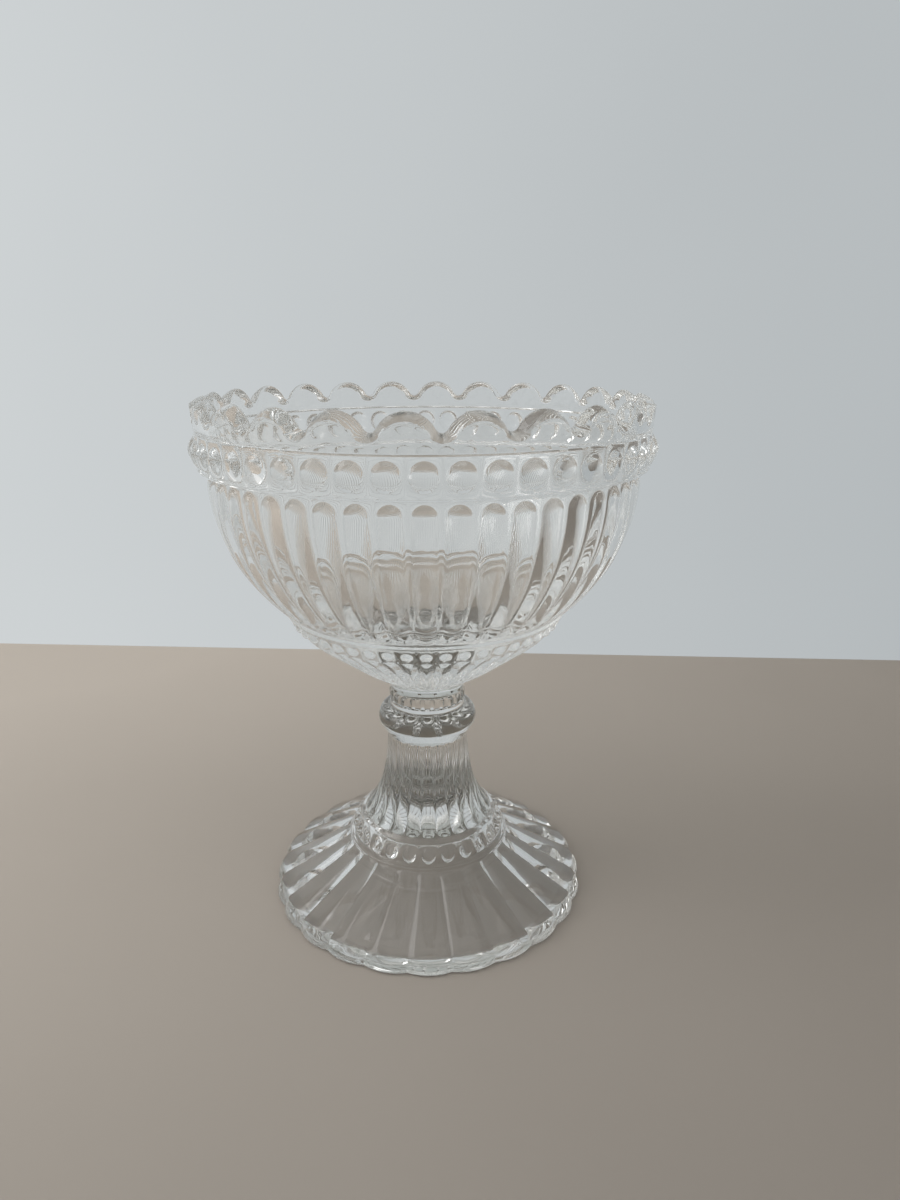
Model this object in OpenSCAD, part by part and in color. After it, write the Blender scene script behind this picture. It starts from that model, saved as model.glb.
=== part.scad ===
// Footed parfait glass of clear pressed glass: a fluted, beaded and scalloped bowl on a ribbed
// pedestal, fused hot through a small disc of glass at the neck.
// Origin at the centre of the foot's resting face, +Z up, millimetres.
// A valley between two scallops of the rim points to -Y.

/* [Rim] */
// Height of the scallop tips above the table
glass_h = 152; // [151:0.5:158]
// Radius of the rim at the middle of its lip
rim_r = 59.7; // [59:0.1:62]
// Thickness of the lip
lip_t = 4.4; // [3:0.1:4.6]
// Number of scallops round the rim
scallops = 24; // [20:1:26]
// Rise of a scallop from its notch to its tip
scallop_rise = 4.5; // [3:0.1:5.5]
// Radius of the notch between two scallops
notch_r = 1.6; // [0.8:0.1:2.5]

/* [Collar] */
// Height of the collar's lower edge
collar_low_z = 133.9; // [133.2:0.1:134.5]
// Height of the collar's upper edge
collar_high_z = 143; // [142.6:0.1:144]
// Radius of the collar between its beads
collar_r = 61.4; // [60.5:0.1:62]
// Radius of a bead on the collar
bead_r = 3.45; // [2.6:0.05:3.6]
// How far a bead stands out
bead_h = 1.7; // [1:0.1:2.4]

/* [Bowl] */
// Largest radius of the bowl between its flutes
bowl_r = 57.7; // [57.3:0.1:58.5]
// Height at which the bowl is widest
bowl_wide_z = 130.8; // [128:0.1:132]
// Half height of the ellipse that the bowl's side follows
bowl_drop = 52.2; // [50:0.1:54]
// Half width of a flute at the bowl's widest
flute_w = 3.2; // [2.4:0.1:3.5]
// How far a flute stands out at the bowl's widest
flute_h = 1.4; // [0.6:0.1:1.8]
// Lower end of the flutes
flute_low_z = 93.6; // [93:0.1:95]
// Upper end of the flutes
flute_high_z = 132.6; // [131:0.1:133]
// Radius of the inside at its widest
inside_r = 55.6; // [54:0.1:56]
// Depth of the inside below the widest height
inside_drop = 46; // [40:0.5:48]

/* [Seat cone] */
// Radius of the ribbed cone where the row of pearls starts
cone_r = 36.4; // [36:0.1:37.5]
// Height of the ribbed cone where the row of pearls starts
cone_high_z = 86.7; // [86:0.1:87.5]
// Height of the cone's ribs
cone_rib_h = 0.8; // [0.4:0.1:1.2]
// Radius of a pearl
pearl_r = 1.6; // [1.2:0.1:2]
// How far a pearl stands out
pearl_h = 1.1; // [0.6:0.1:1.6]

/* [Pedestal] */
// Radius of the bowl's lower end, where it is fused to the disc at the neck
neck_high_r = 12.5; // [11.5:0.1:13.5]
// Height of the bowl's lower end
neck_high_z = 69; // [68:0.1:70]
// Radius of the pedestal's upper end, where it is fused to the disc at the neck
neck_low_r = 11.1; // [10.5:0.1:12]
// Height of the pedestal's upper end
neck_low_z = 65.6; // [65:0.1:66.5]
// Radius of the knop
knop_r = 14.85; // [14:0.05:16]
// Height of the knop's middle
knop_z = 56.4; // [56:0.1:57]
// Radius of the knop's rounding
bulge_r = 3.8; // [3.6:0.1:4]
// Height of the joint between knop and stem
stem_high_z = 51.1; // [50.6:0.1:51.5]
// Radius that the stem comes down to at its upper end, over its ribs
stem_r = 11.6; // [11:0.1:12.2]
// How far the stem flares at its lower end
stem_flare = 8.4; // [7:0.1:8.6]
// Height over which the flare fades
stem_fade = 9; // [8:0.5:11]
// Height of the joint between stem and foot
stem_low_z = 24.6; // [24.4:0.1:26]
// Height of the stem's ribs
stem_rib_h = 1.1; // [0.4:0.1:1.3]
// Turn of the pedestal's pattern against the bowl's, in degrees
pedestal_turn = -3.5; // [-7:0.5:7]

/* [Foot] */
// Largest radius of the foot, over its lobes
foot_r = 48.6; // [46:0.1:52]
// Height of the foot's thick edge
foot_edge_h = 5; // [4.8:0.1:6]
// Height of a lobe above its valley
lobe_h = 1.1; // [0.6:0.1:1.5]
// Radius of the ring at the top of the foot's slope
ring_r = 24.7; // [24.4:0.1:26]
// Height of the ring at the top of the foot's slope
ring_z = 16.8; // [16:0.1:17]
// Half width of an oval bead of the foot's ring
foot_bead_r = 2.1; // [1.6:0.1:2.1]
// Height of such a bead over its width
foot_bead_tall = 1.2; // [1:0.05:1.2]
// How far such a bead stands out
foot_bead_h = 1.4; // [1:0.1:1.8]
// Height of the hollow under the foot
hollow_h = 22.5; // [18:0.5:22.5]
// Radius of the hollow where it meets the table
hollow_r = 41; // [36:0.5:42]

/* [Hidden] */
clear_glass = [0.84, 0.89, 0.88, 0.45];

// Bowl pattern: two flutes, two beads and two pearls to a scallop
flutes = 2 * scallops;
flute_cols = 4;
bowl_cols = flutes * flute_cols;
bead_z = 138.6;
flute_middles = 4;
// A scallop's crest and the notch beside it are arcs that touch
half_scallop = PI * rim_r / scallops;
crest_r = (pow(half_scallop, 2) + pow(scallop_rise, 2)) / (2 * scallop_rise) - notch_r;
crest_z = glass_h - crest_r;
notch_z = glass_h - scallop_rise + notch_r;
crest_half = half_scallop * crest_r / (crest_r + notch_r);
// The lip's top slopes up from a crisp outer edge. Its normal points up by lip_lean there, and by
// lip_steep at lip_top, where a small round over the top and down the inside begins.
lip_lean = 52;
lip_steep = 68;
lip_top = -0.9;
lip_slope_r = (lip_t / 2 - lip_top) / (cos(lip_lean) - cos(lip_steep));
lip_round_r = (lip_t / 2 + lip_top) / (1 + cos(lip_steep));
lip_steps = [lip_t / 2, lip_t / 8, lip_top, lip_round_r - lip_t / 2, -lip_t / 2];
// The groove under the rim, and the inside of the mouth
groove_in = 0.45;
mouth_r = 57.2;
mouth_z = collar_high_z + 0.6;
mouth_gap = 0.2;
collar_step = 0.3;
// A fine ridge runs between the pearls and the flutes
ridge_in = 0.9;
ridge_drop = 1.9;
ridge_out = 1;
// Rings of the cone, the pearls, a flute's end and the beads, as shares of the way over each
cone_levels = [0, 0.4, 0.96];
pearl_levels = [0.08, 0.28, 0.5, 0.72, 0.92];
flute_end_levels = [0, 0.35, 1];
ball_levels = [-0.98, -0.7, 0, 0.7, 0.98];

// Pedestal pattern
lobe_cols = 6;
rib_cols = 4;
stem_levels = [0, 0.07, 0.16, 0.27, 0.42, 0.65, 1];
// The plain neck over the knop's bulge, and the short collar of ribs over that
plain_neck_r = 11.2;
// The bulge's round side meets its straight underside this far below its middle, in degrees
knop_under = 27;
neck_core_r = 10.6;
neck_rib_low_z = 62.1;
neck_rib_r = 0.8;
// The foot's slope runs from its edge up to the ring of beads
slope_r = foot_r - 2.4;
slope_levels = [0, 0.35, 0.7, 0.94];
lobe_fade = 0.3;
foot_bead_z = ring_z + 3.6;
foot_bead_at = 22.1;
foot_bead_lean = 0.3;
// The shoulder over the beads leads in to the stem
shoulder_in = 1.8;
shoulder_drop = 1.3;
// The hollow under the foot is a dome that runs out to a cone
dome_r = 17;
dome_z = 12;
dome_step = 0.9;
smooth = 96;

// Point at a radius, an azimuth counted from -Y towards +X, and a height
function at(r, a, z) = [r * sin(a), -r * cos(a), z];

// Height over the wall of a round cap of base radius r and height h, x and y away from its centre
function cap(r, h, x, y) =
    let (ball = (r * r + h * h) / (2 * h))
    max(0, sqrt(max(0, ball * ball - x * x - y * y)) - ball + h);

// Column j of a repeat of n columns, from -1 in one valley through 0 on the crest towards 1
function across(j, n) = 2 * (j % n) / n - 1;

// Distance round the glass from column j to the crest of its repeat, on a circle of radius r
function off_crest(j, n, r, count) = across(j, n) * PI * r / count;

// Ring of points: outline point p = [radius, height, tilt of its normal below level],
// raised along its normal by the given list of heights
function ring(p, raise, turn = 0) =
    let (n = len(raise))
    [for (j = [0:n - 1])
        at(p[0] + raise[j] * cos(p[2]), turn + j * 360 / n, p[1] - raise[j] * sin(p[2]))];

// Closed skin over rings of equally many points, from the lowest ring up, capped at both ends.
// Its triangles mirror at the crest of each repeat of cols columns.
module skin(rings, cols) {
    n = len(rings[0]);
    top = (len(rings) - 1) * n;
    sides = [for (i = [0:len(rings) - 2], j = [0:n - 1])
        let (a = i * n + j, b = i * n + (j + 1) % n)
        each (across(j, cols) < 0 ? [[a, a + n, b + n], [a, b + n, b]]
                                  : [[a, a + n, b], [b, a + n, b + n]])];
    low_cap = [for (j = [0:n - 1]) j];
    high_cap = [for (j = [n - 1:-1:0]) top + j];
    polyhedron([for (r = rings) each r], concat(sides, [low_cap, high_cap]));
}

// Outline of the bowl between its flutes, at height z
function bowl_at(z) =
    let (t = (bowl_wide_z - z) / bowl_drop, r = bowl_r * sqrt(1 - t * t))
    [r, z, atan2(t / bowl_drop, r / (bowl_r * bowl_r))];

// Outline of the cone and of the row of pearls, at share t of the way up each
cone_tilt = 90 - atan2(cone_high_z - neck_high_z, cone_r - neck_high_r);
flute_low = bowl_at(flute_low_z);
ridge_r = flute_low[0] - ridge_in;
ridge_z = flute_low_z - ridge_drop;
function cone_at(t) =
    [neck_high_r + t * (cone_r - neck_high_r), neck_high_z + t * (cone_high_z - neck_high_z), cone_tilt];
function pearls_at(t) =
    [cone_r + t * (ridge_r - cone_r), cone_high_z + t * (ridge_z - cone_high_z), cone_tilt];

function flat_raise() = [for (j = [0:bowl_cols - 1]) 0];
function rib_raise(h) = [for (j = [0:bowl_cols - 1]) h * (1 - abs(across(j, flute_cols)))];
function cap_raise(r, h, round_r, y) =
    [for (j = [0:bowl_cols - 1]) cap(r, h, off_crest(j, flute_cols, round_r, flutes), y)];

function cone_rings() = [for (t = cone_levels)
    ring(cone_at(t), rib_raise(cone_rib_h * min(1, 2 * t)))];

function pearl_rings() =
    let (length = norm([ridge_r - cone_r, ridge_z - cone_high_z]))
    [for (t = pearl_levels)
        let (p = pearls_at(t))
        ring(p, cap_raise(pearl_r, pearl_h, p[0], (t - 0.5) * length))];

function ridge_ring() = ring([ridge_r + ridge_out, ridge_z + ridge_drop / 2, 0], flat_raise());

// Ring of the flutes at height z, where they narrow with the bowl and end in half rounds
function flute_ring(z, low, high) =
    let (p = bowl_at(z), k = p[0] / bowl_r, y = max(0, low - z, z - high) / cos(p[2]))
    ring(p, cap_raise(flute_w * k, flute_h * pow(k, 3), p[0], y));

function flute_rings() =
    let (low_end = flute_w * flute_low[0] / bowl_r * cos(flute_low[2]),
         low = flute_low_z + low_end, high = flute_high_z - flute_w)
    [for (z = concat([for (t = flute_end_levels) flute_low_z + t * low_end],
                     [for (i = [1:flute_middles - 1]) low + i * (high - low) / flute_middles],
                     [for (i = [len(flute_end_levels) - 1:-1:0])
                         flute_high_z - flute_end_levels[i] * flute_w]))
        flute_ring(z, low, high)];

function collar_rings() = concat(
    [ring([collar_r - collar_step, collar_low_z, 0], flat_raise())],
    [for (y = ball_levels * bead_r)
        ring([collar_r, bead_z + y, 0], cap_raise(bead_r, bead_h, collar_r, y))],
    [ring([collar_r, collar_high_z, 0], flat_raise()),
     ring([collar_r - groove_in, (collar_high_z + mouth_z) / 2, 0], flat_raise())]);

// Height of the rim's edge at column j
function edge_z(j) =
    let (x = half_scallop * abs(across(j, 2 * flute_cols)))
    x < crest_half ? crest_z + sqrt(crest_r * crest_r - x * x)
        : notch_z - sqrt(pow(notch_r, 2) - pow(half_scallop - x, 2));

// Depth of the lip's top under its crest, x out from its middle
function lip_depth(x) = x > lip_top
    ? lip_round_r + (lip_slope_r - lip_round_r) * sin(lip_steep)
        - sqrt(pow(lip_slope_r, 2) - pow(x - lip_top + lip_slope_r * cos(lip_steep), 2))
    : lip_round_r - sqrt(max(0, pow(lip_round_r, 2) - pow(x + lip_t / 2 - lip_round_r, 2)));

// Ring of the lip, x out from its middle
function lip_ring(x) =
    [for (j = [0:bowl_cols - 1]) at(rim_r + x, j * 360 / bowl_cols, edge_z(j) - lip_depth(x))];

function rim_rings() = concat(
    [ring([collar_r, mouth_z, 0], flat_raise())],
    [for (x = lip_steps) lip_ring(x)],
    [ring([mouth_r, mouth_z, 0], flat_raise())]);

// Smooth inside of the bowl, open at the top
module inside() {
    steps = 14;
    arc = [for (i = [0:steps]) let (t = 90 * i / steps)
        [inside_r * sin(t), bowl_wide_z - inside_drop * cos(t)]];
    rotate_extrude($fn = smooth)
        polygon(concat(arc, [[mouth_r - mouth_gap, mouth_z], [mouth_r - mouth_gap, glass_h],
                             [0, glass_h]]));
}

// Bowl with its ribbed seat cone, pearls, fine ridge, flutes, beaded collar and scalloped rim
module bowl() {
    color(clear_glass)
    difference() {
        skin(concat(cone_rings(), pearl_rings(), [ridge_ring()],
                    flute_rings(), collar_rings(), rim_rings()), flute_cols);
        inside();
    }
}

// Disc of glass that fuses the bowl to the pedestal, and flares a little towards the bowl
module wafer() {
    color(clear_glass)
    translate([0, 0, neck_low_z])
        cylinder(r1 = neck_low_r, r2 = neck_high_r, h = neck_high_z - neck_low_z, $fn = smooth);
}

// Knop: a bulge with a straight underside, and a plain neck under a short ribbed collar
module knop() {
    bulge_at = knop_r - bulge_r;
    under = [bulge_at + bulge_r * cos(knop_under), knop_z - bulge_r * sin(knop_under)];
    color(clear_glass)
    union() {
        rotate_extrude($fn = smooth)
            intersection() {
                union() {
                    translate([bulge_at, knop_z]) circle(bulge_r, $fn = 48);
                    polygon([[0, stem_high_z], [stem_at(stem_high_z), stem_high_z], under, [0, under[1]]]);
                    translate([0, under[1]]) square([bulge_at, knop_z - under[1]]);
                    translate([0, knop_z]) square([plain_neck_r, neck_rib_low_z - knop_z]);
                    translate([0, knop_z]) square([neck_core_r, neck_low_z - knop_z]);
                }
                translate([0, stem_high_z]) square([knop_r + 1, neck_low_z - stem_high_z]);
            }
        for (i = [0:scallops - 1])
            rotate(pedestal_turn + i * 360 / scallops)
                translate([0, -neck_core_r, neck_rib_low_z])
                    cylinder(r = neck_rib_r, h = neck_low_z - neck_rib_low_z, $fn = 24);
    }
}

// Radius of the stem over its ribs, at height z
function stem_at(z) = stem_r + stem_flare * exp(-(z - stem_low_z) / stem_fade);

// Hollow under the foot, run on a little below the table
module hollow() {
    steps = 6;
    below = 2;
    roof = [for (i = [0:steps]) let (t = 90 * i / steps)
        [dome_r * sin(t), dome_z + (hollow_h - dome_z) * cos(t)]];
    rotate_extrude($fn = smooth)
        polygon(concat(roof, [[dome_r + dome_step, dome_z - dome_step], [hollow_r, 0],
                              [hollow_r, -below], [0, -below]]));
}

// Solid ribbed stem, which flares at its lower end
module stem() {
    cols = scallops * rib_cols;
    rib = [for (j = [0:cols - 1]) stem_rib_h * (sqrt(1 - pow(across(j, rib_cols), 2)) - 1)];
    turn = pedestal_turn - 180 / scallops;
    color(clear_glass)
    skin([for (t = stem_levels)
        let (z = stem_low_z + t * (stem_high_z - stem_low_z))
        ring([stem_at(z), z, 0], rib, turn)], rib_cols);
}

// Foot: a smooth shoulder, a ring of beads and a slope of rounded lobes down to a thick edge
module foot() {
    cols = scallops * lobe_cols;
    turn = pedestal_turn - 180 / scallops;
    slope = 90 - atan2(ring_z - foot_edge_h, slope_r - ring_r);
    function lobes(share) = [for (j = [0:cols - 1]) -lobe_h * share * pow(across(j, lobe_cols), 2)];
    function beads(y) = [for (j = [0:cols - 1])
        cap(foot_bead_r, foot_bead_h, off_crest(j, lobe_cols, foot_bead_at, scallops),
            y / foot_bead_tall)];
    function slope_at(t) =
        [slope_r + t * (ring_r - slope_r), foot_edge_h + t * (ring_z - foot_edge_h), -slope];
    flat = [for (j = [0:cols - 1]) 0];
    // Outline of the edge: how far in, how high, how far its normal points up, and the lobes' share
    edge = [for (p = [[1.4, 0, 0, 0.8], [0.1, 0.6, 0, 0.9], [0, 1.1, 5, 0.95],
                      [0.65, 3, 25, 1], [1.75, foot_edge_h - 0.4, 45, 1]])
        ring([foot_r - p[0], p[1], -p[2]], lobes(p[3]), turn)];
    rise = [for (t = slope_levels) ring(slope_at(t), lobes(1 - lobe_fade * t), turn)];
    band = concat(
        [ring([ring_r, ring_z, 0], flat, turn)],
        [for (y = ball_levels * foot_bead_r * foot_bead_tall)
            ring([foot_bead_at - foot_bead_lean * y, foot_bead_z + y, 0], beads(y), turn)],
        [ring([foot_bead_at - shoulder_in / 2, stem_low_z - shoulder_drop, 0], flat, turn),
         ring([foot_bead_at - shoulder_in, stem_low_z - shoulder_drop / 2, 0], flat, turn),
         ring([stem_at(stem_low_z), stem_low_z, 0], flat, turn)]);
    color(clear_glass)
    difference() {
        skin(concat(edge, rise, band), lobe_cols);
        hollow();
    }
}

bowl();
wafer();
knop();
stem();
foot();
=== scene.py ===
# Footed parfait glass of clear pressed glass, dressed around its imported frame.
# Lengths are in millimetres up to the point where a mesh is made, which is in metres.
from math import atan2, cos, degrees, hypot, pi, radians, sin, sqrt

import bpy
import numpy as np
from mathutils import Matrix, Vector

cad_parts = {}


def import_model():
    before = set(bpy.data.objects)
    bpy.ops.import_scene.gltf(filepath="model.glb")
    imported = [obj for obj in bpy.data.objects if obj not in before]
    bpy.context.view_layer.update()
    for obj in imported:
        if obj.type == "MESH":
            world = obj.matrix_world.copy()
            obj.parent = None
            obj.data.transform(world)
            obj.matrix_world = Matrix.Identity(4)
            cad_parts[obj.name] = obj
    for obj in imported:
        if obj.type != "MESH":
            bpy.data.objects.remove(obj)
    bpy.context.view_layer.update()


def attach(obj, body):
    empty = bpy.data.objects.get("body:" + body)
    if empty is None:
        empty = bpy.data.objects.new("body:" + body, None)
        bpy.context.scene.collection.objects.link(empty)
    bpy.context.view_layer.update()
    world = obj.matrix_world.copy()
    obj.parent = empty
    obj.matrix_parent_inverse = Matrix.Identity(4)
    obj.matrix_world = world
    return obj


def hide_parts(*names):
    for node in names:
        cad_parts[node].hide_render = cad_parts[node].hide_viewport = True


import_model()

MM = 0.001

# Pattern of the glass: two flutes, beads and pearls to a scallop of the rim, one rib, bead and lobe below
REPEATS = 24
SECTOR = 2 * pi / REPEATS
HALF = SECTOR / 2
PEDESTAL_TURN = radians(-3.5)

# Heights of the fused faces, and the radius of the glass at each
BOWL_LOW_Z, BOWL_LOW_R = 69.0, 12.5
NECK_LOW_Z, NECK_LOW_R = 65.6, 11.1
STEM_HIGH_Z, STEM_HIGH_R = 51.1, 12.1
STEM_LOW_Z = 24.6
JOINT_HEIGHTS = (BOWL_LOW_Z, NECK_LOW_Z, STEM_HIGH_Z, STEM_LOW_Z)

# Rings of vertices round a bead: those on its ball, then its foot, then the border of its cell
RINGS = 8
BALL_RINGS = 6
# Share of its ball that a bead shows before its foot begins
BALL_SHARE = 0.95
# Width of the small foot round a bead or pearl
BEAD_FOOT, PEARL_FOOT = 0.12, 0.15
# A row across a bead, rib or lobe has this many columns, at these places from -1 to 1
COLUMNS = 2 * RINGS
STEPS = np.arange(-RINGS, RINGS + 1) / RINGS
# Smooth turned faces need fewer columns to a sector
INSIDE_COLUMNS, HOLLOW_COLUMNS = 8, 4

# Bowl
FLUTE_LOW_Z, FLUTE_HIGH_Z = 93.6, 132.6
BOWL_R, BOWL_WIDE_Z, BOWL_DROP = 57.7, 130.8, 52.2
FLUTE_SHARE, FLUTE_H = 0.88, 1.4
CONE_R, CONE_HIGH_Z, CONE_RIB_H = 36.4, 86.7, 0.8
PEARL_R, PEARL_H, PEARL_TILT = 1.6, 1.1, radians(40)
COLLAR_R, COLLAR_LOW_Z, COLLAR_HIGH_Z = 61.4, 133.9, 143.0
BEAD_R, BEAD_H, BEAD_Z = 3.45, 1.7, 138.6
WALL_LOW_Z = 143.6

# Rim: scallops with a round crest and a rounded notch between them. The lip's top slopes up from a
# crisp outer edge, and its normal points up by LIP_LEAN there, up to LIP_STEEP at LIP_TOP, where a
# small round over the top and down the inside begins
GLASS_H, RIM_R, LIP_T = 152.0, 59.7, 4.4
LIP_LEAN, LIP_STEEP, LIP_TOP = radians(52), radians(68), -0.9
CREST_R, NOTCH_R = 7.4, 1.6

# Inside of the bowl
INSIDE_R, INSIDE_DROP = 55.6, 46.0
MOUTH_R = 57.2

# Pedestal
KNOP_R, KNOP_Z, BULGE_R, KNOP_UNDER = 14.85, 56.4, 3.8, 27
NECK_CORE_R, NECK_RIB_H, NECK_RIB_SHARE = 10.6, 0.8, 0.62
NECK_RIB_LOW_Z = 62.1
STEM_R, STEM_FLARE, STEM_FADE, STEM_RIB_H = 11.6, 8.4, 9.0, 1.1
# The stem's lower face is drawn in by this much, so that a fine round leads down to it
STEM_FOOT_IN = 0.45
FOOT_R, SLOPE_R, EDGE_H, LOBE_H, LOBE_FADE = 48.6, 46.2, 5.0, 1.1, 0.3
RING_R, RING_Z = 24.7, 16.8
FOOT_BEAD_R, FOOT_BEAD_TALL, FOOT_BEAD_H = 2.1, 1.2, 1.4
FOOT_BEAD_Z, FOOT_BEAD_AT, FOOT_BEAD_LEAN = 20.4, 22.1, 0.3
HOLLOW_R, DOME_R, DOME_Z, HOLLOW_H = 41.0, 17.0, 12.0, 22.5


# Shapes. A sector of the glass is a list of rows of vertices. A row is three lists: radius, angle
# from -Y towards +X, and height. A row with one vertex is a pole on the axis.

def row(r, a, z):
    """A row of vertices. A single number stands for the whole row."""
    r, a, z = np.broadcast_arrays(r, a, z)
    return np.array([r, a, z], float).reshape(3, -1)


def pole(z):
    return row(0.0, 0.0, z)


def angles(columns):
    """Evenly spaced angles over a sector."""
    return np.linspace(0, SECTOR, columns + 1)


def rings_of(rows):
    """The rows of half a sector, set beside themselves, as rows of a whole one."""
    return [row(np.append(r[0], r[0][1:]), np.append(r[1], r[1][1:] + HALF), np.append(r[2], r[2][1:]))
            for r in rows]


def faces_between(first, second, start_first, start_second):
    """Faces from one row to the next. The longer row has a whole number of edges to each of the shorter."""
    n, m = first - 1, second - 1
    if m == 0:
        return [list(range(start_first, start_first + n + 1)) + [start_second]]
    if n == 0:
        return [list(range(start_second + m, start_second - 1, -1)) + [start_first]]
    count = min(n, m)
    k, l = n // count, m // count
    return [list(range(start_first + i * k, start_first + (i + 1) * k + 1))
            + list(range(start_second + (i + 1) * l, start_second + i * l - 1, -1)) for i in range(count)]


def sector_mesh(name, rows):
    """A mesh of the rows in their order: from the axis out along the underside, up, and back to it."""
    starts = np.cumsum([0] + [r.shape[1] for r in rows])
    r, a, z = np.concatenate(rows, axis=1)
    points = np.stack([r * np.sin(a), -r * np.cos(a), z], axis=1) * MM
    faces = []
    for i in range(len(rows) - 1):
        faces += faces_between(rows[i].shape[1], rows[i + 1].shape[1], int(starts[i]), int(starts[i + 1]))
    mesh = bpy.data.meshes.new(name)
    mesh.from_pydata(points.tolist(), [], faces)
    return mesh


def button(radius, height, foot):
    """Distance from the centre and height of each ring on a round button with a small foot round it."""
    ball_r = (radius ** 2 + height ** 2) / (2 * height)
    reach = atan2(radius, ball_r - height) * BALL_SHARE
    t = np.arange(BALL_RINGS + 1) / BALL_RINGS * reach
    out = np.append(ball_r * np.sin(t), radius + foot)
    up = np.append(ball_r * np.cos(t) - (ball_r - height), 0)
    return out, up


def round_cell(p, q, shape, half_w, low, high):
    """Points of a square cell whose square rings become the round rings of a button.
    Returns how far across and along each lies from the centre, and how far it stands proud."""
    p, q = np.broadcast_arrays(p, q)
    out, up = shape
    m = np.maximum(np.abs(p), np.abs(q))
    wide = np.abs(p) >= np.abs(q)
    big = np.where(m > 0, m, 1)
    turn = pi / 4 * np.where(wide, np.abs(q), np.abs(p)) / big
    across = np.where(wide, np.cos(turn), np.sin(turn)) * np.sign(p)
    along = np.where(wide, np.sin(turn), np.cos(turn)) * np.sign(q)
    ring = m * RINGS
    levels = np.arange(len(out))
    radius, raised = np.interp(ring, levels, out), np.interp(ring, levels, up)
    edge = ring > RINGS - 0.5
    x = np.where(edge, p * half_w, radius * across)
    y = np.where(edge, np.where(q > 0, q * high, q * low), radius * along)
    return x, y, np.where(edge, 0, raised)


def button_rows(shape, r, z, line_tilt, low, high, tilt=0.0, span=HALF, tall=1.0):
    """Rows of one cell with a button on a straight wall, through its middle at r, z.
    line_tilt is how far the wall leans out, tilt how far the button points down, and tall its height
    over its width."""
    rows = []
    for q in STEPS:
        x, y, h = round_cell(STEPS, q, shape, r * span / 2, low / tall, high / tall)
        y = y * tall
        base_r = r + y * sin(line_tilt)
        angle = np.where(np.abs(STEPS) == 1, STEPS * span / 2, x / base_r)
        rows.append(row(base_r + h * cos(tilt), span / 2 + angle,
                        z + y * cos(line_tilt) - h * sin(tilt)))
    return rows


def arc_points(cr, cz, radius, first, last, count):
    """Points of an arc in the plane through the axis, its angle counted from straight out, upwards."""
    t = np.radians(np.linspace(first, last, count))
    return [(cr + radius * cos(v), cz + radius * sin(v)) for v in t]


def round_end(t, start, length):
    """1 up to start, and from there down to 0 over length, as a quarter of a circle does."""
    return sqrt(max(0, 1 - max(0, (t - start) / length) ** 2))


def smooth_line(points, count):
    """A smooth line through a few points, by their own tangents, as count points."""
    p = np.array(points, float)
    d = np.hypot(*np.diff(p, axis=0).T)
    s = np.concatenate([[0], np.cumsum(d)])
    slope = np.gradient(p, s, axis=0)
    result = []
    for v in np.linspace(0, s[-1], count):
        i = min(np.searchsorted(s, v, side="right") - 1, len(s) - 2)
        w = s[i + 1] - s[i]
        t = (v - s[i]) / w
        a, b = 2 * t ** 3 - 3 * t ** 2 + 1, t ** 3 - 2 * t ** 2 + t
        c, e = -2 * t ** 3 + 3 * t ** 2, t ** 3 - t ** 2
        result.append(a * p[i] + b * w * slope[i] + c * p[i + 1] + e * w * slope[i + 1])
    return [tuple(v) for v in result]


# Bowl

def bowl_at(z):
    """Radius of the bowl between its flutes, and how far its normal points down."""
    t = (BOWL_WIDE_Z - z) / BOWL_DROP
    r = BOWL_R * np.sqrt(1 - t * t)
    return r, np.arctan2(t / BOWL_DROP, r / BOWL_R ** 2)


def cone_rows():
    """Ribbed cone that seats the bowl, from the neck out to the pearls."""
    # Shares of the way up: each rib grows to its full height, and ends round before the pearls
    full_from, round_from = 0.3, 0.85
    crown = 1 - np.abs(STEPS) ** 1.3
    lean = atan2(CONE_R - BOWL_LOW_R, CONE_HIGH_Z - BOWL_LOW_Z)
    rows = []
    for t in (0.03, 0.08, 0.16, 0.3, 0.5, 0.7, 0.85, 0.93, 0.98):
        raised = CONE_RIB_H * min(1, t / full_from) * round_end(t, round_from, 1 - round_from) * crown
        rows.append(row(BOWL_LOW_R + t * (CONE_R - BOWL_LOW_R) + raised * cos(lean),
                        HALF / 2 * (1 + STEPS),
                        BOWL_LOW_Z + t * (CONE_HIGH_Z - BOWL_LOW_Z) - raised * sin(lean)))
    return rows


def pearl_rows():
    """Row of pearls on a short slope, and the fine ridge between them and the flutes."""
    step_in, step_down, ridge_r, ridge_out = 0.9, 1.9, 0.75, 0.3
    top_r, top_z = float(bowl_at(FLUTE_LOW_Z)[0]) - step_in, FLUTE_LOW_Z - step_down
    length = hypot(top_r - CONE_R, top_z - CONE_HIGH_Z)
    lean = atan2(top_r - CONE_R, top_z - CONE_HIGH_Z)
    pearls = button_rows(button(PEARL_R, PEARL_H, PEARL_FOOT), (CONE_R + top_r) / 2,
                         (CONE_HIGH_Z + top_z) / 2, lean, length / 2, length / 2, PEARL_TILT)
    ridge = arc_points(top_r + ridge_out, top_z + ridge_r, ridge_r, -75, 40, 7)
    return pearls + [row(r, HALF / 2 * (1 + STEPS), z) for r, z in ridge]


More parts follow.
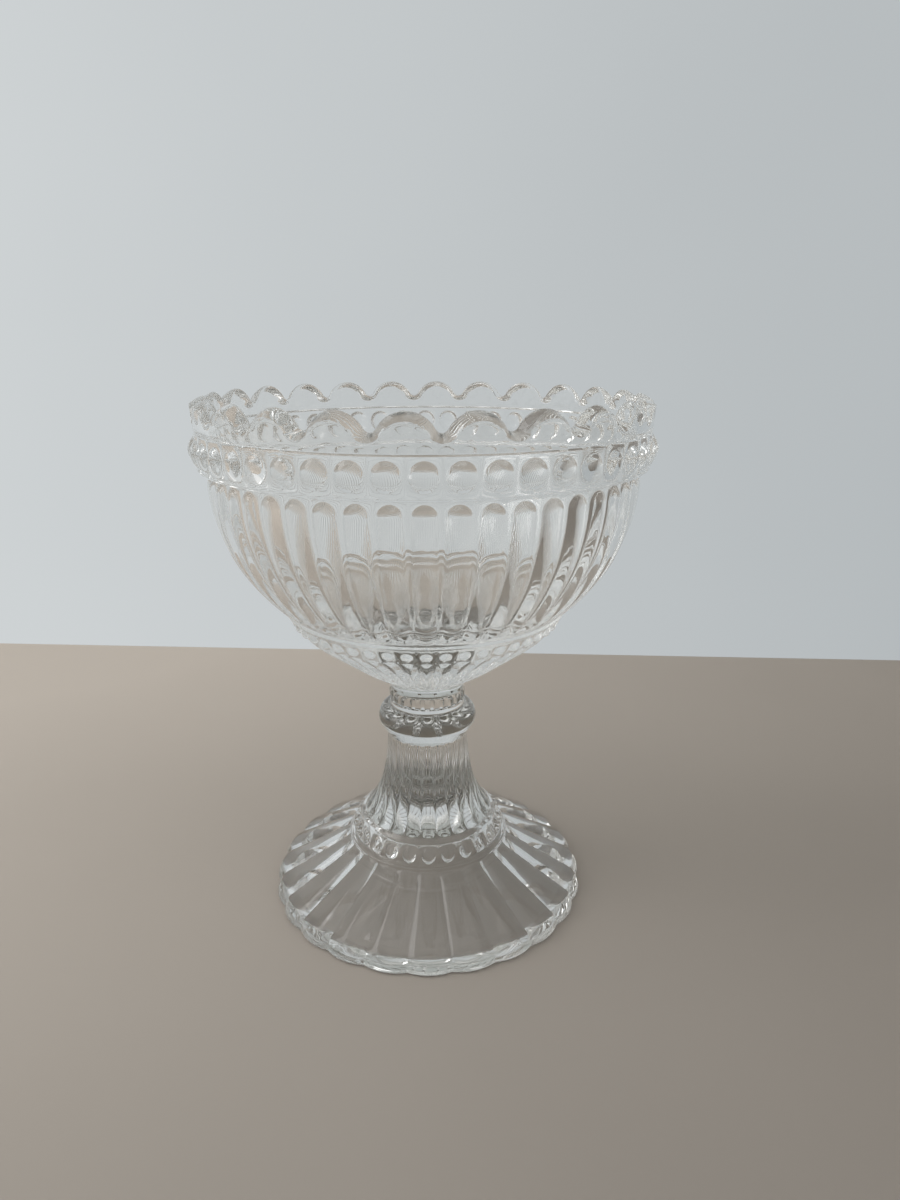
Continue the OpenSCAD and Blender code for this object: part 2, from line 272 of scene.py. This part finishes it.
def flute_rows():
    """Long fingers with round ends, which narrow with the bowl."""
    z = np.linspace(FLUTE_LOW_Z, FLUTE_HIGH_Z, 400)
    r, _ = bowl_at(z)
    s = np.concatenate([[0], np.cumsum(np.hypot(np.diff(r), np.diff(z)))])
    # Bare glass past each end, the share of a flute that is round, and rows between its two ends
    margin, round_share, between = 0.35, 0.95, 12
    # The lower end is a little longer than half a circle
    low_long = 1.05

    def rows_at(centre, low, high, steps):
        wide = float(np.interp(centre, s, r)) * HALF / 2
        height = FLUTE_H * (wide * 2 / (BOWL_R * HALF)) ** 3
        shape = button(wide * FLUTE_SHARE * round_share, height, wide * FLUTE_SHARE * (1 - round_share))
        found = []
        for q in steps:
            x, y, h = round_cell(STEPS, q, shape, wide, low, high)
            at_z = np.interp(centre + y, s, z)
            at_r, tilt = bowl_at(at_z)
            angle = np.where(np.abs(STEPS) == 1, STEPS * HALF / 2, x / np.interp(centre, s, r))
            found.append(row(at_r + h * np.cos(tilt), HALF / 2 + angle, at_z - h * np.sin(tilt)))
        return found

    low_end = FLUTE_SHARE * float(r[0]) * HALF / 2 * low_long + margin
    high_end = s[-1] - FLUTE_SHARE * float(r[-1]) * HALF / 2 - margin
    rows = rows_at(low_end, low_end, 0, STEPS[1:RINGS + 1])
    for t in np.linspace(0, 1, between + 2)[1:-1]:
        rows += rows_at(low_end + t * (high_end - low_end), 0, 0, [0.0])
    return rows + rows_at(high_end, 0, s[-1] - high_end, STEPS[RINGS:])


def collar_rows():
    """Step out to the collar, its beads, and the fine groove above them."""
    a = HALF / 2 * (1 + STEPS)
    edge, below, above = 0.05, 0.3, 0.2
    step = [(57.85, 132.95), (58.6, 133.2), (60.2, 133.4), (61.1, 133.6), (COLLAR_R - edge, COLLAR_LOW_Z)]
    beads = button_rows(button(BEAD_R, BEAD_H, BEAD_FOOT), COLLAR_R, BEAD_Z, 0.0,
                        BEAD_Z - COLLAR_LOW_Z - below, COLLAR_HIGH_Z - above - BEAD_Z)
    groove = [(COLLAR_R - d, COLLAR_HIGH_Z + up) for d, up in ((0.1, 0), (0.45, 0.3), (0.3, 0.5))]
    return [row(r, a, z) for r, z in step] + beads + [row(r, a, z) for r, z in groove]


def rim_radii(z):
    """Outer and inner radius of the rim's wall, which leans out to the lip."""
    t = np.clip((z - WALL_LOW_Z) / (GLASS_H - WALL_LOW_Z), 0, 1)
    return COLLAR_R + (RIM_R + LIP_T / 2 - COLLAR_R) * t, MOUTH_R + (RIM_R - LIP_T / 2 - MOUTH_R) * t


def scallop_edge():
    """Edge from a notch to the next crest: distance round the rim, height, and direction into the glass."""
    span = RIM_R * HALF
    crest_z = GLASS_H - CREST_R
    rise = sqrt((CREST_R + NOTCH_R) ** 2 - span ** 2)
    lean = atan2(span, rise)
    notch_z = crest_z + rise
    t = np.linspace(0, lean, 6)
    notch = [(NOTCH_R * sin(v), notch_z - NOTCH_R * cos(v), sin(v), -cos(v)) for v in t]
    t = np.linspace(lean, 0, COLUMNS - len(notch) + 2)[1:]
    crest = [(span - CREST_R * sin(v), crest_z + CREST_R * cos(v), sin(v), -cos(v)) for v in t]
    return np.array(notch + crest).T


def lip_profile():
    """The lip's top from outside to inside: distance out from its middle, and depth under its crest."""
    slope_r = (LIP_T / 2 - LIP_TOP) / (cos(LIP_LEAN) - cos(LIP_STEEP))
    round_r = (LIP_T / 2 + LIP_TOP) / (1 + cos(LIP_STEEP))
    slope_low = round_r + (slope_r - round_r) * sin(LIP_STEEP)
    slope = [(LIP_TOP + slope_r * (cos(v) - cos(LIP_STEEP)), slope_low - slope_r * sin(v))
             for v in np.linspace(LIP_LEAN, LIP_STEEP, 6)]
    over = [(round_r - LIP_T / 2 + round_r * cos(v), round_r * (1 - sin(v)))
            for v in np.linspace(LIP_STEEP, pi, 10)[1:]]
    return slope + over


def rim_rows():
    """Wall of the rim up to its scalloped edge, the rounded lip, and the inside back down."""
    x, z, nx, nz = scallop_edge()
    x = np.concatenate([x, 2 * RIM_R * HALF - x[-2::-1]])
    z, nz = np.append(z, z[-2::-1]), np.append(nz, nz[-2::-1])
    nx = np.append(nx, -nx[-2::-1])
    flat = angles(2 * COLUMNS)
    profile = lip_profile()

    def wall(t, side):
        down = profile[0 if side == 0 else -1][1]
        at_z = WALL_LOW_Z + t * (z + nz * down - WALL_LOW_Z)
        return row(rim_radii(at_z)[side], flat + t * ((x + nx * down) / RIM_R - flat), at_z)

    # The lip has the wall's thickness just under its crest
    outer, inner = rim_radii(z - 1)
    lip = [row((outer + inner) / 2 + (outer - inner) / LIP_T * out, (x + nx * down) / RIM_R, z + nz * down)
           for out, down in profile]
    outside, inside = (0, 0.06, 0.2, 0.4, 0.6, 0.8, 0.96), (0.96, 0.8, 0.6, 0.4, 0.2, 0)
    return [wall(t, 0) for t in outside] + lip + [wall(t, 1) for t in inside]


def inside_rows():
    """Smooth inside of the bowl, down to its floor."""
    down = smooth_line([(MOUTH_R, WALL_LOW_Z), (56.9, 141.5), (56.2, 137.5), (55.75, 133.5),
                        (INSIDE_R, BOWL_WIDE_Z)], 9)[1:]
    t = np.radians(np.linspace(90, 0, 30))[1:-1]
    arc = [(INSIDE_R * sin(v), BOWL_WIDE_Z - INSIDE_DROP * cos(v)) for v in t]
    return [row(r, angles(INSIDE_COLUMNS), z) for r, z in down + arc] + [pole(BOWL_WIDE_Z - INSIDE_DROP)]


def bowl_sector():
    """Seat on the neck's disc, the pattern up the outside, the rim, and the inside."""
    seat = [pole(BOWL_LOW_Z), row(BOWL_LOW_R, angles(2 * COLUMNS), BOWL_LOW_Z)]
    lower = rings_of(cone_rows() + pearl_rows() + flute_rows() + collar_rows())
    return seat + lower + rim_rows() + inside_rows()


# Pedestal

def wafer_sector():
    """Smooth disc at the neck, which widens a little towards the bowl."""
    side = smooth_line([(NECK_LOW_R, NECK_LOW_Z), (11.3, 66.8), (11.7, 67.9), (BOWL_LOW_R, BOWL_LOW_Z)], 11)
    return [pole(NECK_LOW_Z)] + [row(r, angles(INSIDE_COLUMNS), z) for r, z in side] + [pole(BOWL_LOW_Z)]


def knop_sector():
    """Bulge with a round top and a straight underside, and a short collar of ribs above it."""
    a = angles(COLUMNS)
    bulge = arc_points(KNOP_R - BULGE_R, KNOP_Z, BULGE_R, -KNOP_UNDER, 75, 17)
    low_r, low_z = bulge[0]
    under = [(STEM_HIGH_R + t * (low_r - STEM_HIGH_R), STEM_HIGH_Z + t * (low_z - STEM_HIGH_Z))
             for t in (0, 0.04, 0.3, 0.6, 0.9)]
    waist = smooth_line([(11.5, 60.3), (11.25, 60.7), (11.15, 61.2), (11.2, 61.9)], 6)
    # Height over the collar's lower edge, and the share of a rib's height there
    levels = ((0.0, 0.35), (0.3, 0.8), (0.9, 1), (1.8, 1), (2.7, 1), (3.1, 0.85), (3.4, 0.55), (3.55, 0.2))
    rib = np.sqrt(np.clip(1 - (STEPS / NECK_RIB_SHARE) ** 2, 0, 1))
    collar = [row(NECK_CORE_R + NECK_RIB_H * share * rib, a, NECK_RIB_LOW_Z + up) for up, share in levels]
    top = [row(NECK_LOW_R, a, NECK_LOW_Z), pole(NECK_LOW_Z)]
    return [pole(STEM_HIGH_Z)] + [row(r, a, z) for r, z in under + bulge + waist] + collar + top


def stem_at(z):
    """Radius of the stem over its ribs."""
    return STEM_R + STEM_FLARE * np.exp(-(z - STEM_LOW_Z) / STEM_FADE)


def stem_sector():
    """Solid ribbed stem, which flares at its lower end."""
    a = angles(COLUMNS)
    # Ribs a hair flatter than half a circle, so that they meet in open valleys
    rib = np.sqrt(1 - 0.99 * STEPS ** 2) - 1
    # Shares of the way up: the lower round and the ribs end there, and the top begins to close
    round_to, ribs_full_from, close_from = 0.03, 0.05, 0.955
    rows = []
    for t in np.concatenate([[0.012, 0.03, 0.055], np.linspace(0.09, 0.94, 16), [0.965, 0.985]]):
        z = STEM_LOW_Z + t * (STEM_HIGH_Z - STEM_LOW_Z)
        share = min(1, t / ribs_full_from) ** 0.5
        close = 1 - round_end(t, close_from, 1 - close_from)
        r = stem_at(z) - STEM_FOOT_IN * max(0, 1 - t / round_to) + STEM_RIB_H * share * rib
        rows.append(row(r * (1 - close) + STEM_HIGH_R * close, a, z))
    low = [pole(STEM_LOW_Z), row(stem_at(STEM_LOW_Z) - STEM_FOOT_IN, a, STEM_LOW_Z)]
    top = [row(STEM_HIGH_R, a, STEM_HIGH_Z), pole(STEM_HIGH_Z)]
    return low + rows + top


def foot_sector():
    """Thick edge, slope of convex lobes, fine ridge, ring of beads, shoulder, and the hollow below."""
    # The columns stand closer towards the valleys, so that these are crisp
    across = np.sin(STEPS * pi / 2)
    a, even = SECTOR / 2 * (1 + across), angles(COLUMNS)
    slope = 90 - degrees(atan2(RING_Z - EDGE_H, SLOPE_R - RING_R))

    def lobed(r, z, share, up, power):
        """Row over one lobe, which falls off to its valleys in a direction that points up by up degrees."""
        h = -LOBE_H * share * np.abs(across) ** power
        return row(r + h * cos(radians(up)), a, z + h * sin(radians(up)))

    # Edge: distance in from its widest, height, share of the lobes' depth, and how far it faces up
    section = ((1.4, 0, 0.8, 0), (0.5, 0.2, 0.85, 0), (0.1, 0.6, 0.9, 0), (0, 1.1, 0.95, 5),
               (0.15, 1.9, 1, 15), (0.65, 3.0, 1, 25), (1.3, 4.0, 1, 35), (1.75, 4.6, 1, 45),
               (2.05, 4.87, 1, 55))
    edge = [lobed(FOOT_R - d, z, share, up, 2) for d, z, share, up in section]
    # The lobes grow shallower up the slope, and end round at the ridge
    round_from, round_length = 0.88, 0.115
    rise = []
    for t in (0.01, 0.04, 0.12, 0.22, 0.34, 0.47, 0.6, 0.72, 0.82, 0.9, 0.95, 0.98):
        share = (1 - LOBE_FADE * t) * round_end(t, round_from, round_length)
        r, z = SLOPE_R + t * (RING_R - SLOPE_R), EDGE_H + t * (RING_Z - EDGE_H)
        rise.append(lobed(r, z, share, slope, 3))
    ridge = arc_points(RING_R - 0.4, RING_Z + 0.25, 0.55, -20, 130, 8)
    margin = 0.2
    reach = (FOOT_BEAD_R + margin) * FOOT_BEAD_TALL
    beads = button_rows(button(FOOT_BEAD_R, FOOT_BEAD_H, BEAD_FOOT), FOOT_BEAD_AT, FOOT_BEAD_Z,
                        -FOOT_BEAD_LEAN, reach, reach, span=SECTOR, tall=FOOT_BEAD_TALL)
    shoulder = smooth_line([(21.2, 23.3), (20.9, 23.8), (20.4, 24.2), (20.0, 24.45),
                            (float(stem_at(STEM_LOW_Z)) - STEM_FOOT_IN, STEM_LOW_Z)], 10)
    upper = [row(r, even, z) for r, z in ridge] + beads + [row(r, even, z) for r, z in shoulder]
    dome = [row(DOME_R * sin(v), angles(HOLLOW_COLUMNS), DOME_Z + (HOLLOW_H - DOME_Z) * cos(v))
            for v in np.linspace(0, pi / 2, 16)[1:-1]]
    skirt = smooth_line([(DOME_R, DOME_Z), (17.8, 10.9), (21, 9.4), (29, 6.0), (37, 2.3),
                         (HOLLOW_R, 0.15)], 18)
    under = [row(r, angles(HOLLOW_COLUMNS), z) for r, z in skirt + [(HOLLOW_R + 0.5, 0.0)]]
    return [pole(HOLLOW_H)] + dome + under + edge + rise + upper + [pole(STEM_LOW_Z)]


# Node trees

class Socket:
    """A shader socket that can be used in sums and products."""

    def __init__(self, tree, socket):
        self.tree, self.socket = tree, socket

    def maths(self, operation, other, flip=False):
        values = (other, self) if flip else (self, other)
        return self.tree.node("ShaderNodeMath", {"operation": operation}, {0: values[0], 1: values[1]})

    def __add__(self, other):
        return self.maths("ADD", other)

    def __radd__(self, other):
        return self.maths("ADD", other, True)

    def __sub__(self, other):
        return self.maths("SUBTRACT", other)

    def __rsub__(self, other):
        return self.maths("SUBTRACT", other, True)

    def __mul__(self, other):
        return self.maths("MULTIPLY", other)

    def __rmul__(self, other):
        return self.maths("MULTIPLY", other, True)


class Tree:
    """Adds nodes to a node tree. node() gives the first output, or the one named by output."""

    def __init__(self, tree):
        self.nodes, self.links = tree.nodes, tree.links

    def node(self, kind, settings=None, sockets=None, output=0):
        node = self.nodes.new(kind)
        for name, value in (settings or {}).items():
            setattr(node, name, value)
        for name, value in (sockets or {}).items():
            if isinstance(value, Socket):
                self.links.new(value.socket, node.inputs[name])
            elif isinstance(value, bpy.types.NodeSocket):
                self.links.new(value, node.inputs[name])
            else:
                node.inputs[name].default_value = value
        return Socket(self, node.outputs[output]) if len(node.outputs) else node


def new_material(name):
    """An empty material, and its node tree."""
    material = bpy.data.materials.new(name)
    material.use_nodes = True
    material.node_tree.nodes.clear()
    return material, Tree(material.node_tree)


def blend(tree, share, first, second):
    """The first colour where share is 0, the second where it is 1."""
    return tree.node("ShaderNodeMix", {"data_type": "RGBA"},
                     {0: share, 6: (*first, 1), 7: (*second, 1)}, output=2)


# The glass's colour, from place to place, and how rough its broad clouds can make it
DEEPER_TINT, PALER_TINT = (0.965, 0.963, 0.953), (0.985, 0.983, 0.975)
HAZE = 0.02
GLASS_IOR = 1.5


def clouded_tint(tree, place):
    """Broad clouds, and the tint that follows them."""
    clouds = tree.node("ShaderNodeTexNoise", {}, {"Vector": place, "Scale": 45.0, "Detail": 1.0})
    return clouds, blend(tree, clouds, DEEPER_TINT, PALER_TINT)


def pressed_glass():
    """Clear fire-polished pressed glass: a trace of warm grey, a faint waviness and a slight haze."""
    material, tree = new_material("clear_pressed_glass")
    place = tree.node("ShaderNodeTexCoord", output="Object")
    waves = tree.node("ShaderNodeTexNoise", {}, {"Vector": place, "Scale": 160.0, "Detail": 2.0})
    clouds, tint = clouded_tint(tree, place)
    bump = tree.node("ShaderNodeBump", {}, {"Strength": 0.12, "Distance": 0.0004, "Height": waves})
    glass = tree.node("ShaderNodeBsdfPrincipled", {"distribution": "MULTI_GGX"},
                      {"Base Color": tint, "Roughness": clouds * HAZE, "IOR": GLASS_IOR,
                       "Transmission Weight": 1.0, "Normal": bump})
    body = tree.node("ShaderNodeVolumeAbsorption", {}, {"Color": (0.87, 0.87, 0.85, 1), "Density": 9.0})
    tree.node("ShaderNodeOutputMaterial", {}, {"Surface": glass, "Volume": body})
    return material


def fused_face():
    """Where two pieces are fused there is no surface, so the face between them is clear."""
    material, tree = new_material("fused_face")
    place = tree.node("ShaderNodeTexCoord", output="Object")
    tint = clouded_tint(tree, place)[1]
    face = tree.node("ShaderNodeBsdfPrincipled", {}, {"Base Color": tint, "Alpha": 0.0, "IOR": GLASS_IOR})
    tree.node("ShaderNodeOutputMaterial", {}, {"Surface": face})
    return material


def matt(name, left, right, across, slant=0.0, backdrop=False):
    """Matt paint with painted light and shade: it fades from the lit colour at left to the shaded colour at
    right over a width of across metres, and with slant towards the camera too, with a slight random
    unevenness.
    A backdrop shows its own colour wherever it is seen, and is clear from behind."""
    unevenness = 0.3
    material, tree = new_material(name)
    place = tree.node("ShaderNodeTexCoord", output="Object")
    grain = tree.node("ShaderNodeTexNoise", {}, {"Vector": place, "Scale": 3.0, "Detail": 3.0})
    x, y = [tree.node("ShaderNodeSeparateXYZ", {}, {"Vector": place}, output=axis) for axis in "XY"]
    # Painted light and shade: the colour goes from the lit one to the shaded one along this line, with
    # random unevenness on top
    along = (x - y * slant) * (1 / across) + 0.5
    painted_falloff_and_grain = tree.node("ShaderNodeClamp", {}, {"Value": along + (grain - 0.5) * unevenness})
    shade = blend(tree, painted_falloff_and_grain, left, right)
    paint = tree.node("ShaderNodeBsdfDiffuse", {}, {"Color": shade})
    if backdrop:
        glow = tree.node("ShaderNodeEmission", {}, {"Color": shade})
        seen = [tree.node("ShaderNodeLightPath", output="Is " + kind + " Ray") for kind in
                ("Camera", "Glossy", "Transmission")]
        paint = tree.node("ShaderNodeMixShader", {}, {0: seen[0] + seen[1] + seen[2], 1: paint, 2: glow})
        back = tree.node("ShaderNodeNewGeometry", output="Backfacing")
        clear = tree.node("ShaderNodeBsdfTransparent")
        paint = tree.node("ShaderNodeMixShader", {}, {0: back, 1: paint, 2: clear})
    tree.node("ShaderNodeOutputMaterial", {}, {"Surface": paint})
    return material


GLASS, FUSED = pressed_glass(), fused_face()


def turned_repeat():
    """Geometry Nodes tree: sets copies of a sector round the axis and welds them into one skin."""
    group = bpy.data.node_groups.new("turned_repeat", "GeometryNodeTree")
    face = group.interface
    face.new_socket("Sector", in_out="INPUT", socket_type="NodeSocketGeometry")
    for name, kind in (("Count", "NodeSocketInt"), ("Turn", "NodeSocketFloat"), ("Weld", "NodeSocketFloat"),
                       ("Finish", "NodeSocketMaterial")):
        face.new_socket(name, in_out="INPUT", socket_type=kind)
    face.new_socket("Skin", in_out="OUTPUT", socket_type="NodeSocketGeometry")
    tree = Tree(group)
    inputs = group.nodes.new("NodeGroupInput")
    given = {s.name: s for s in inputs.outputs}
    index = tree.node("GeometryNodeInputIndex")
    share = tree.node("ShaderNodeMath", {"operation": "DIVIDE"}, {0: index, 1: given["Count"]})
    angle = share * (2 * pi) + Socket(tree, given["Turn"])
    turn = tree.node("ShaderNodeCombineXYZ", {}, {"Z": angle})
    points = tree.node("GeometryNodeMeshLine", {}, {"Count": given["Count"], "Offset": (0, 0, 0)})
    copies = tree.node("GeometryNodeInstanceOnPoints", {},
                       {"Points": points, "Instance": given["Sector"], "Rotation": turn})
    real = tree.node("GeometryNodeRealizeInstances", {}, {0: copies})
    skin = tree.node("GeometryNodeMergeByDistance", {}, {"Geometry": real, "Distance": given["Weld"]})
    done = tree.node("GeometryNodeSetMaterial", {}, {"Geometry": skin, "Material": given["Finish"]})
    tree.node("NodeGroupOutput", {}, {0: done})
    return group


REPEAT = turned_repeat()
# Vertices of neighbouring sectors that lie closer than this, in metres, become one
WELD = 2e-6
# A face is level when its normal is this upright, and lies on a joint when it is this near, in metres
UPRIGHT, NEAR = 0.999, 1e-5
# Edges sharper than this stay crisp
CRISP = radians(60)


def glass_piece(node, rows, turn=0.0):
    """A whole piece from the rows of one sector, standing for its node."""
    mesh = sector_mesh(node + "_sector", rows)
    mesh.materials.append(GLASS)
    sector = bpy.data.objects.new(node + "_sector", mesh)
    bpy.context.scene.collection.objects.link(sector)
    repeat = sector.modifiers.new("repeat", "NODES")
    repeat.node_group = REPEAT
    given = {s.name: s.identifier for s in REPEAT.interface.items_tree if s.in_out == "INPUT"}
    for name, value in (("Count", REPEATS), ("Turn", turn), ("Weld", WELD), ("Finish", GLASS)):
        repeat[given[name]] = value
    graph = bpy.context.evaluated_depsgraph_get()
    whole = bpy.data.meshes.new_from_object(sector.evaluated_get(graph), depsgraph=graph)
    sector.modifiers.remove(repeat)
    bpy.data.objects.remove(sector)
    whole.name = node + "_glass"
    whole.materials.clear()
    whole.materials.append(GLASS)
    whole.materials.append(FUSED)
    for polygon in whole.polygons:
        level = abs(polygon.normal.z) > UPRIGHT
        joint = any(abs(polygon.center.z - z * MM) < NEAR for z in JOINT_HEIGHTS)
        polygon.material_index = 1 if level and joint else 0
    whole.shade_smooth()
    whole.set_sharp_from_angle(angle=CRISP)
    piece = bpy.data.objects.new(node + "_glass", whole)
    bpy.context.scene.collection.objects.link(piece)
    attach(piece, "root")
    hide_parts(node)


glass_piece("bowl", bowl_sector())
glass_piece("wafer", wafer_sector(), PEDESTAL_TURN)
glass_piece("knop", knop_sector(), PEDESTAL_TURN - HALF)
glass_piece("stem", stem_sector(), PEDESTAL_TURN - HALF)
glass_piece("foot", foot_sector(), PEDESTAL_TURN - HALF)


# Studio, in metres

# The table's paint carries painted shade: lighter at the far left, darker towards the right and the camera,
# where the light falls off
TABLE_PAINTED_LIT, TABLE_PAINTED_SHADE = (0.65, 0.578, 0.508), (0.29, 0.257, 0.226)
TABLE_SHADE_FADE, TABLE_SHADE_SLANT, TABLE_REACH = 0.7, 1.2, 3.0
# The wall's colour carries painted light: lighter on the left, darker on the right, where the light falls
# off
WALL_PAINTED_LIT_COLOUR, WALL_PAINTED_SHADE_COLOUR, WALL_LIGHT_FADE = (0.67, 0.70, 0.71), (0.42, 0.45, 0.465), 0.75
# The table lies a hair under the foot, so that their faces do not coincide
TABLE_Z = -0.0002
# The wall's line on the table, from left to right
WALL_LEFT, WALL_RIGHT = (-0.2288, 0.2322), (0.2654, 0.1607)
WALL_REACH, WALL_HIGH = 3.0, 2.0
# The room's light is strongest towards ROOM_BRIGHT. Square to that it has ROOM_LEVEL, and nowhere
# less than ROOM_DARKEST
ROOM_BRIGHT, ROOM_LEVEL, ROOM_DARKEST = (-0.2, 0.12, 0.45), 0.62, 0.2
# The camera's place, and how far it looks down and to the right
CAMERA_PLACE, CAMERA_DOWN, CAMERA_RIGHT = (-0.0144, -0.2328, 0.16673), radians(17.645), radians(5.25)
LENS_MM, SENSOR_MM = 24.94, 36.0


def plane(name, corners, material):
    """A flat part of the stage."""
    mesh = bpy.data.meshes.new(name)
    mesh.from_pydata(corners, [], [(0, 1, 2, 3)])
    mesh.materials.append(material)
    stage = bpy.data.objects.new(name, mesh)
    bpy.context.scene.collection.objects.link(stage)


def studio():
    """A plain table and a plain wall, along the photograph's own line between them."""
    corners = [(x * TABLE_REACH, y * TABLE_REACH, TABLE_Z) for x, y in ((-1, -1), (1, -1), (1, 1), (-1, 1))]
    plane("table", corners, matt("table_matt_painted_shade", TABLE_PAINTED_LIT, TABLE_PAINTED_SHADE, TABLE_SHADE_FADE, TABLE_SHADE_SLANT))
    middle = [(a + b) / 2 for a, b in zip(WALL_LEFT, WALL_RIGHT)]
    along = [b - a for a, b in zip(WALL_LEFT, WALL_RIGHT)]
    half = [v / hypot(*along) * WALL_REACH for v in along]
    left, right = [m - h for m, h in zip(middle, half)], [m + h for m, h in zip(middle, half)]
    plane("wall", [(*left, TABLE_Z), (*right, TABLE_Z), (*right, WALL_HIGH), (*left, WALL_HIGH)],
          matt("wall_matt_painted_light", WALL_PAINTED_LIT_COLOUR, WALL_PAINTED_SHADE_COLOUR, WALL_LIGHT_FADE, backdrop=True))


def lamp(name, place, aim, size, power):
    """A square lamp of size metres, turned to aim."""
    light = bpy.data.lights.new(name, "AREA")
    light.size = size
    light.energy = power
    lamp_object = bpy.data.objects.new(name, light)
    lamp_object.location = place
    lamp_object.rotation_euler = (Vector(aim) - Vector(place)).to_track_quat("-Z", "Y").to_euler()
    bpy.context.scene.collection.objects.link(lamp_object)


def world():
    """Soft light of a room: brightest overhead and towards the left, and darker behind the camera."""
    sky = bpy.data.worlds.new("studio_room")
    sky.use_nodes = True
    sky.node_tree.nodes.clear()
    tree = Tree(sky.node_tree)
    side = tree.node("ShaderNodeTexCoord", output="Generated")
    lean = tree.node("ShaderNodeVectorMath", {"operation": "DOT_PRODUCT"}, {0: side, 1: ROOM_BRIGHT},
                     output="Value")
    level = tree.node("ShaderNodeMath", {"operation": "MAXIMUM"}, {0: lean + ROOM_LEVEL, 1: ROOM_DARKEST})
    air = tree.node("ShaderNodeBackground", {}, {"Color": (0.985, 1.0, 1.0, 1), "Strength": level})
    tree.node("ShaderNodeOutputWorld", {}, {"Surface": air})
    bpy.context.scene.world = sky


def camera():
    """The photograph's view: a hand-held camera a little above the rim, with a wide lens."""
    data = bpy.data.cameras.new("camera")
    data.lens, data.sensor_width = LENS_MM, SENSOR_MM
    view = bpy.data.objects.new("camera", data)
    view.location = CAMERA_PLACE
    view.rotation_euler = (pi / 2 - CAMERA_DOWN, 0, -CAMERA_RIGHT)
    bpy.context.scene.collection.objects.link(view)
    bpy.context.scene.camera = view


studio()
lamp("key", place=(-1.3, 0.1, 1.1), aim=(0, 0, 0.08), size=1.0, power=6.0)
world()
camera()
scene = bpy.context.scene
scene.view_settings.view_transform = "Standard"
# Light is reflected many times inside the glass before it leaves
BOUNCES = 32
scene.cycles.max_bounces = BOUNCES
scene.cycles.glossy_bounces = BOUNCES
scene.cycles.transmission_bounces = BOUNCES
scene.cycles.transparent_max_bounces = BOUNCES
